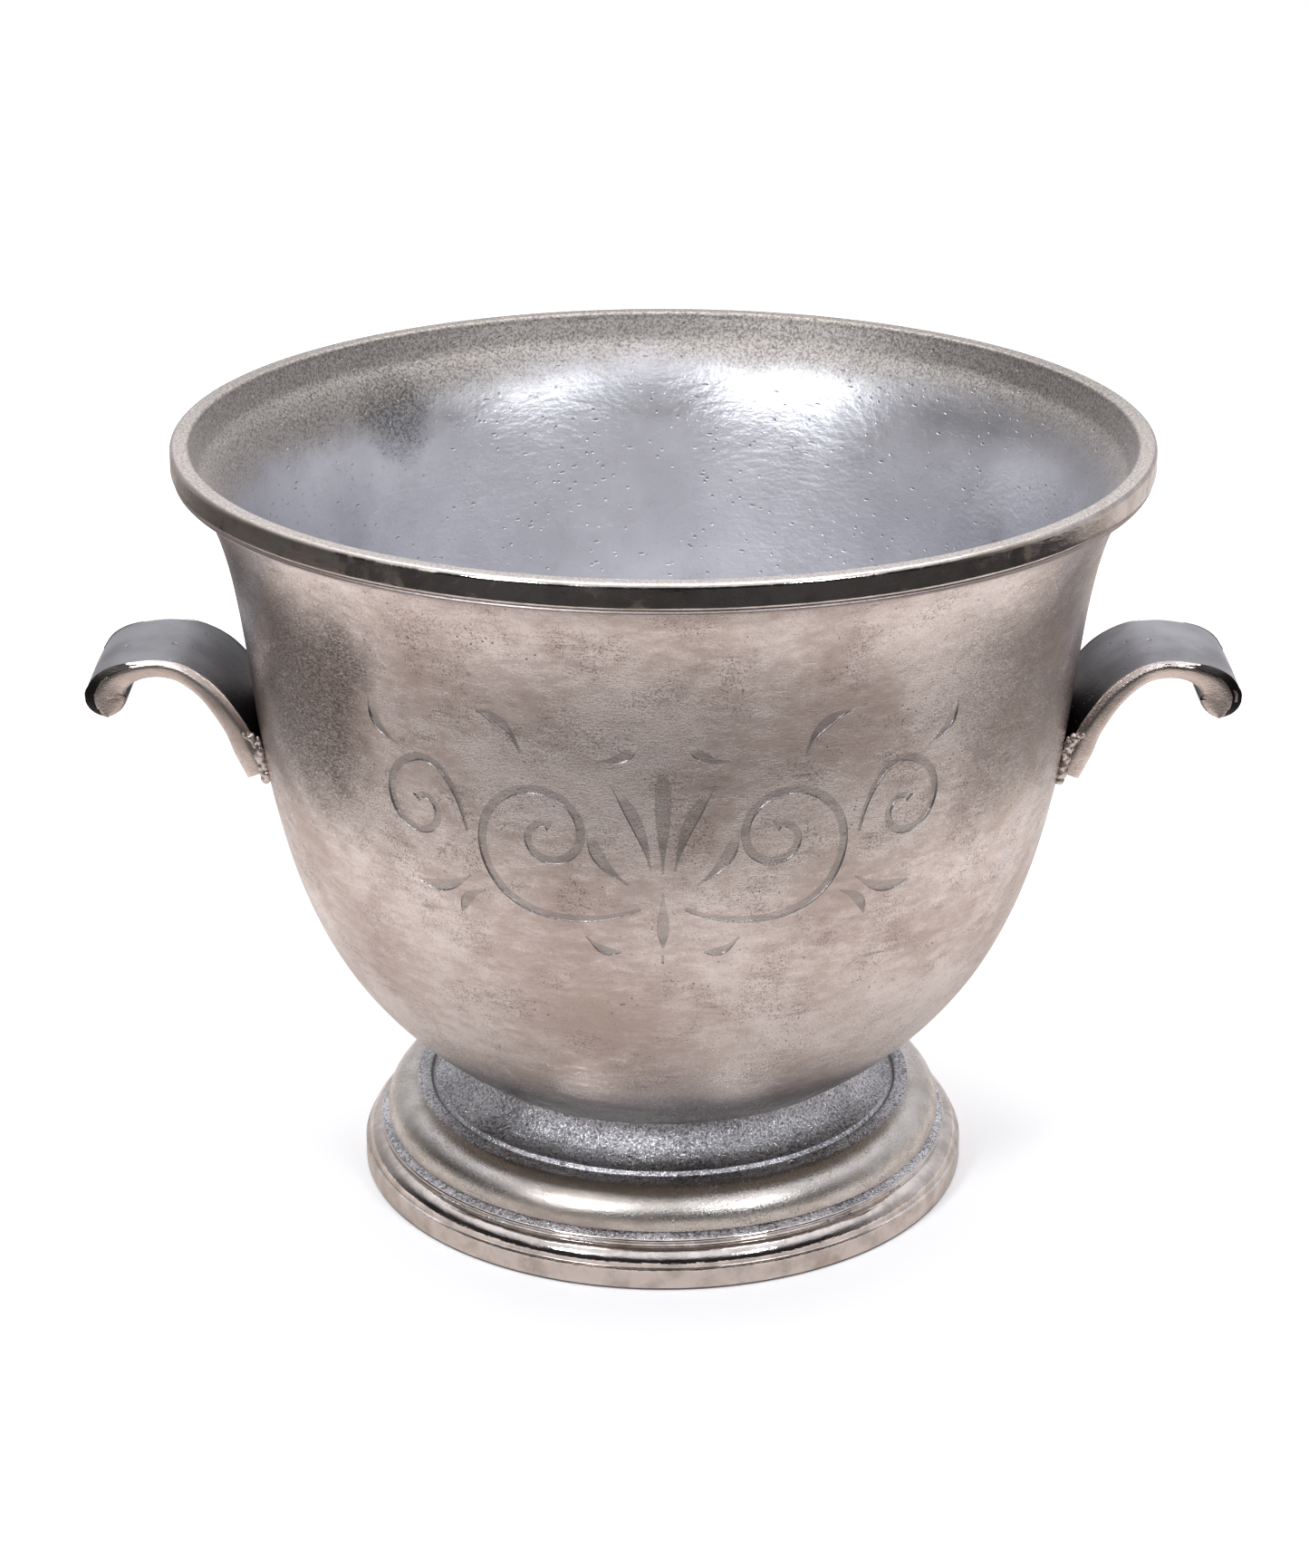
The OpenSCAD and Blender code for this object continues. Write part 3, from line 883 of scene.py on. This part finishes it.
def strap_tree():
    """Sweeps a section along a strap's centre line, whose point radius is half the thickness."""
    tree, b, given, outlet = geometry_tree("sweep_strap", [
        ("Section", "Object"), ("Side", "Float"), ("Seed", "Float"), ("Lump size", "Float"),
        ("Unevenness", "Float"), ("Flare", "Float"), ("Flare from", "Float"), ("Flare to", "Float"),
        ("Finish", "Material"),
    ])
    path = given["Geometry"]
    section = b.add("GeometryNodeObjectInfo", None, {"Object": given["Section"]}, "Geometry")
    grid, column, row = grid_of(b, point_count(b, path), point_count(b, section))
    place = sampled(b, path, b.add("GeometryNodeInputPosition"), "FLOAT_VECTOR", column)
    along = sampled(b, path, b.add("GeometryNodeInputTangent"), "FLOAT_VECTOR", column)
    half = sampled(b, path, b.add("GeometryNodeInputRadius"), "FLOAT", column)
    edge = sampled(b, section, b.add("GeometryNodeInputPosition"), "FLOAT_VECTOR", row)
    across, _, through = b.split(edge)
    out = b.vector("CROSS_PRODUCT", along, (0, 1, 0))
    lift = b.vector("SCALE", out)
    b.plug(lift.socket.node.inputs["Scale"], through * half * given["Side"] * MM)
    x, _, _ = b.split(place)
    flare = b.ease(b.maths("ABSOLUTE", x), given["Flare to"], given["Flare from"], given["Flare"], 0)
    spread = across * (1 + flare)
    bent = b.vector("ADD", b.vector("ADD", place, lift), b.join(0.0, spread, 0.0))
    swept = b.add("GeometryNodeSetPosition", None, {"Geometry": grid, "Position": bent})
    merged = b.add("GeometryNodeMergeByDistance", None, {"Geometry": swept, "Distance": MERGE_GAP})
    finish_tree(b, outlet, roughened(b, merged, given, given["Unevenness"]), given["Finish"])
    return tree


def through_points(points, count):
    """A smooth line through points of any dimension, count steps between each two."""
    points = [Vector(p) for p in points]
    made = []
    for i in range(len(points) - 1):
        a = points[i - 1] if i else points[0]
        b, c = points[i], points[i + 1]
        d = points[i + 2] if i + 2 < len(points) else c
        for k in range(count):
            t = k / count
            made.append(0.5 * (2 * b + (c - a) * t + (2 * a - 5 * b + 4 * c - d) * t * t
                               + (3 * b - a - 3 * c + d) * t * t * t))
    made.append(points[-1])
    return made


def strap_line(side):
    """The centre line of a handle, from inside the wall to the rolled tip: x, z and half the thickness."""
    top = HANDLE_TOP_Z
    bulb = Vector((HANDLE_REACH - 7.4, top - 11.7, 7.2))
    points = through_points([
        (138.1, STEM_Z + 3.4, 4.5), (140.1, STEM_Z + 7.6, 4.45),
        (142.2, STEM_Z + 12, 4.4), (145.9, STEM_Z + 20.4, 4.0),
        (153.4, top - 10.2, 3.7), (162.5, top - 3.7, 3.4), (HANDLE_REACH - 26, top - 1.9, 3.3),
        (HANDLE_REACH - 18.4, top - 2.7, 3.5), (HANDLE_REACH - 12.4, top - 5.0, 4.7),
        (HANDLE_REACH - 8.9, top - 8.1, 6.1), bulb,
    ], 9)
    tip = []
    for i in range(1, 11):
        a = math.radians(8.5 * i)
        around = Vector((-0.09 * math.sin(a), -math.sin(a), math.cos(a) - 1))
        tip.append(bulb + bulb.z * around)
    return [(side * p.x, 0, p.y, p.z) for p in points + tip]


def strap_section():
    """Half the width and the thickness from 1 on top to -1 below, round the strap and back to its start."""
    half = HANDLE_W / 2
    near = through_points([(0, 1.0), (half - 8, 0.985), (half - 2.4, 0.95), (half - 1.5, 0.985)], 3)
    near += through_points([(half - 1.2, 1.0), (half - 0.85, 0.86), (half - 0.45, 0.66), (half - 0.08, 0.46),
                            (half, 0.2), (half - 0.3, -0.25), (half - 0.7, -0.62), (half - 1.3, -0.88),
                            (half - 2.2, -0.98)], 3)
    near += through_points([(half - 4, -1.0), (0, -1.0)], 4)
    far = [Vector((-p.x, p.y)) for p in reversed(near[1:-1])]
    loop = near + far + [near[0]]
    return [(p.x, 0, p.y / MM, 1) for p in loop]


def close_and_face_outwards(piece):
    """Fills a piece's open ends and points its faces outwards."""
    work = bmesh.new()
    work.from_mesh(piece.data)
    bmesh.ops.holes_fill(work, edges=[e for e in work.edges if e.is_boundary])
    bmesh.ops.recalc_face_normals(work, faces=work.faces)
    work.to_mesh(piece.data)
    work.free()


STRAP = strap_tree()


def is_outer_corner(face):
    """Whether a face of a handle is on the bevel between its top and its side."""
    outward = face.normal.x * (1 if face.center.x > 0 else -1)
    return 0.3 < abs(face.normal.y) < 0.965 and max(face.normal.z, outward) > 0.22


def is_reflection_dark(face):
    """All of the bevel near the tip, and only its lower edge further in."""
    reach = abs(face.center.x) / MM
    return reach > 182 or (reach > 169 and abs(face.normal.y) > 0.865)


def is_buffed_edge(face):
    """Whether a face is on a handle's side or on its bevel."""
    return abs(face.normal.y) > 0.55 or (abs(face.normal.y) > 0.3 and is_outer_corner(face))


def handle(name, side, seed, finish):
    """Adds one handle, on the right where side is 1 and on the left where it is -1."""
    path = drawn_line(name + "_line", [strap_line(side)])
    section = drawn_line(name + "_section", [strap_section()])
    made = run_tree(path, STRAP, {
        "Section": section, "Side": side, "Seed": seed, "Lump size": 14 * MM, "Unevenness": 0.12,
        "Flare": STEM_FLARE, "Flare from": 172 * MM, "Flare to": 143 * MM,
        "Finish": finish,
    }, name)
    drop(path, section)
    close_and_face_outwards(made)
    sharpen(made, 40)
    add_finish(made, HANDLE_EDGE, is_buffed_edge)
    add_finish(made, CHAMFER_REFLECTION_DARK, lambda f: is_outer_corner(f) and is_reflection_dark(f))
    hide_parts(name.replace("strap", "handle"))
    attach(made, "root")


# ---------------------------------------------------------------- welds

def weld_tree():
    """Lays overlapping drops of metal along a line and melts them into one lumpy bead."""
    tree, b, given, outlet = geometry_tree("lay_weld", [
        ("Drop spacing", "Float"), ("Scatter", "Float"), ("Grain", "Float"), ("Seed", "Int"),
        ("Finish", "Material"),
    ])
    spaced = b.add("GeometryNodeResampleCurve", {"mode": "LENGTH"}, {
        "Curve": given["Geometry"], "Length": given["Drop spacing"],
    })
    drops = b.add("GeometryNodeCurveToPoints", {"mode": "EVALUATED"}, {"Curve": spaced}, "Points")
    reach = given["Scatter"]
    low = b.join(reach * -1, reach * -1, reach * -1)
    high = b.join(reach, reach, reach)
    stray = b.add("FunctionNodeRandomValue", {"data_type": "FLOAT_VECTOR"}, {
        "Min": low, "Max": high, "Seed": given["Seed"],
    }, "Value")
    scattered = b.add("GeometryNodeSetPosition", None, {"Geometry": drops, "Offset": stray})
    swell = b.add("FunctionNodeRandomValue", {"data_type": "FLOAT"}, {
        "Min_001": 0.72, "Max_001": 1.1, "Seed": given["Seed"] + 1,
    }, "Value_001")
    size = b.add("GeometryNodeInputRadius") * swell * MM
    volume = b.add("GeometryNodePointsToVolume", {"resolution_mode": "VOXEL_SIZE"}, {
        "Points": scattered, "Voxel Size": given["Grain"], "Radius": size,
    })
    skin = b.add("GeometryNodeVolumeToMesh", {"resolution_mode": "GRID"}, {
        "Volume": volume, "Threshold": 0.3,
    })
    place = b.add("GeometryNodeInputPosition")
    eased = b.add("GeometryNodeBlurAttribute", {"data_type": "FLOAT_VECTOR"}, {
        "Value": place, "Iterations": 6,
    })
    melted = b.add("GeometryNodeSetPosition", None, {"Geometry": skin, "Position": eased})
    smooth = b.add("GeometryNodeSetShadeSmooth", None, {"Geometry": melted})
    finish_tree(b, outlet, smooth, given["Finish"])
    return tree


WELD_LAYER = weld_tree()
HALF_W = HANDLE_W / 2


def wall_x(height, across):
    """How far out the wall's face is at a height, at a distance across the handle."""
    radius = KNEE_R + (height - KNEE_Z) * math.tan(math.radians(KNEE_LEAN))
    return math.sqrt(radius * radius - across * across)


def weld_lines(side):
    """Two beads up each side of the stem's foot, a short ridge over them and one bead below it.

    Each point is x, y, z and the bead's radius."""
    low, high = STEM_Z + 2.2, STEM_Z + 17.5
    half = HALF_W * (1 + STEM_FLARE)
    beads = []
    for edge in (-1, 1):
        for aside, out, lean, radius in ((-0.3, 1.3, 1.0, 2.0), (1.3, 0.5, 0.2, 1.5)):
            y = edge * (half + aside)
            climb = []
            for t in (i / 10 for i in range(11)):
                z = low + (high - low) * t
                climb.append((side * (wall_x(z, y) + out + lean * t), y, z, radius - 0.4 * t))
            beads.append(climb)
        y = edge * (half + 0.1)
        ridge = []
        for t in (i / 6 for i in range(7)):
            z = high - 3.6 + 4.2 * t
            ridge.append((side * (wall_x(z, y) + 1.0 + 4.4 * t), y, z, 1.1))
        beads.append(ridge)
    beads.append([(side * (wall_x(low - 0.8, y) + 1.4), y, low - 0.8, 1.7)
                  for y in (-half + 2 * half * i / 12 for i in range(13))])
    return beads


def weld(name, side, seed):
    """Adds the weld of the handle on the same side."""
    path = drawn_line(name + "_line", weld_lines(side))
    made = run_tree(path, WELD_LAYER, {
        "Drop spacing": 1.0 * MM, "Scatter": 0.22 * MM, "Grain": 0.36 * MM, "Seed": seed, "Finish": WELD,
    }, name)
    drop(path)
    close_and_face_outwards(made)
    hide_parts(name.replace("bead", "weld"))
    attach(made, "root")


handle("left_strap", -1, 2.0, SHADED_LEFT_HANDLE)
handle("right_strap", 1, 7.0, RIGHT_HANDLE)
weld("left_handle_bead", -1, 3)
weld("right_handle_bead", 1, 8)

for name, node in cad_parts.items():
    if name.startswith("foot_"):
        node.data.materials.clear()
        node.data.materials.append(STEEL)


# ---------------------------------------------------------------- floor, light and camera

def area_light(name, place, aim, size, power, tint=(1, 1, 1)):
    data = bpy.data.lights.new(name, "AREA")
    data.shape = "RECTANGLE"
    data.size = size[0]
    data.size_y = size[1]
    data.energy = power
    data.color = tint
    made = bpy.data.objects.new(name, data)
    made.location = place
    made.rotation_euler = (Vector(aim) - Vector(place)).to_track_quat("-Z", "Y").to_euler()
    bpy.context.scene.collection.objects.link(made)
    return made


def pale_floor():
    """A pale floor whose reflection in the metal falls away in front, as the unlit end of a room does."""
    material, b = new_finish("pale_floor")
    x, y, _ = b.split(b.add("ShaderNodeTexCoord", out="Object"))
    gone = b.ease(b.maths("SQRT", 0.70 * x * x + 1.16 * y * y), 0.29, 0.53)
    front = b.ease(y + 0.3 * x, 0.25, 0.75, 1, 0.2)
    in_metal = b.blend(gone * front, (0.72, 0.66, 0.62, 1), (0.018, 0.016, 0.016, 1))
    reflected = b.add("ShaderNodeLightPath", out="Is Glossy Ray")
    colour = b.blend(reflected, (0.93, 0.93, 0.93, 1), in_metal)
    seen = b.add("ShaderNodeLightPath", out="Is Camera Ray")
    lit = b.blend(seen, (0, 0, 0, 1), (0.16, 0.16, 0.16, 1))
    return close_finish(material, b, {
        "Base Color": colour, "Roughness": 0.95, "Emission Color": lit, "Emission Strength": 1.0,
    })


def studio_world():
    """White behind the object; cool overhead light and a dark horizon for the metal to reflect."""
    world = bpy.data.worlds.new("studio")
    world.use_nodes = True
    world.node_tree.nodes.clear()
    b = Bench(world.node_tree)
    x, y, z = b.split(b.add("ShaderNodeTexCoord", out="Generated"))
    ahead = b.ease(y + 0.35 * x, -0.2, 0.7, 1, 0.1)
    low = b.ease(z, 0.35, 0.75, 1, 0)
    sky = b.blend(b.ease(z, 0.35, 0.9), (0.66, 0.65, 0.67, 1), (1.0, 1.0, 1.05, 1))
    room = b.blend(ahead * low, sky, (0.025, 0.023, 0.025, 1))
    seen = b.add("ShaderNodeLightPath", out="Is Camera Ray")
    colour = b.blend(seen, room, (1, 1, 1, 1))
    back = b.nodes.new("ShaderNodeBackground")
    b.plug(back.inputs["Color"], colour)
    out = b.nodes.new("ShaderNodeOutputWorld")
    b.tree.links.new(back.outputs[0], out.inputs["Surface"])
    bpy.context.scene.world = world


def studio():
    half = 1.4
    floor_data = bpy.data.meshes.new("studio_floor")
    corners = [(-half, -half, 0), (half, -half, 0), (half, half, 0), (-half, half, 0)]
    floor_data.from_pydata(corners, [], [(0, 1, 2, 3)])
    floor = bpy.data.objects.new("studio_floor", floor_data)
    bpy.context.scene.collection.objects.link(floor)
    floor_data.materials.append(pale_floor())
    reach = 1.7
    for name, azimuth, size, power in (("softbox_left", -37, 0.40, 16), ("softbox_right", 37, 0.30, 7.5)):
        angle = math.radians(azimuth)
        place = (reach * math.sin(angle), -reach * math.cos(angle), 1.25)
        area_light(name, place, (0, 0, 0.15), (size, size), power, (0.95, 0.97, 1))
    area_light("ceiling", (0, 0.6, 2.4), (0, 0, 0), (2.4, 2.4), 42)
    studio_world()


EYE = (0, -1.1479, 0.5997)
LOOK_DOWN = 0.3804
TURN_LEFT = 0.0026
LENS = 81.1092


def camera():
    data = bpy.data.cameras.new("camera")
    data.lens = LENS
    data.sensor_width = 36
    made = bpy.data.objects.new("camera", data)
    made.location = EYE
    made.rotation_euler = (math.pi / 2 - LOOK_DOWN, 0, TURN_LEFT)
    bpy.context.scene.collection.objects.link(made)
    bpy.context.scene.camera = made


studio()
camera()
bpy.context.scene.view_settings.view_transform = "Standard"
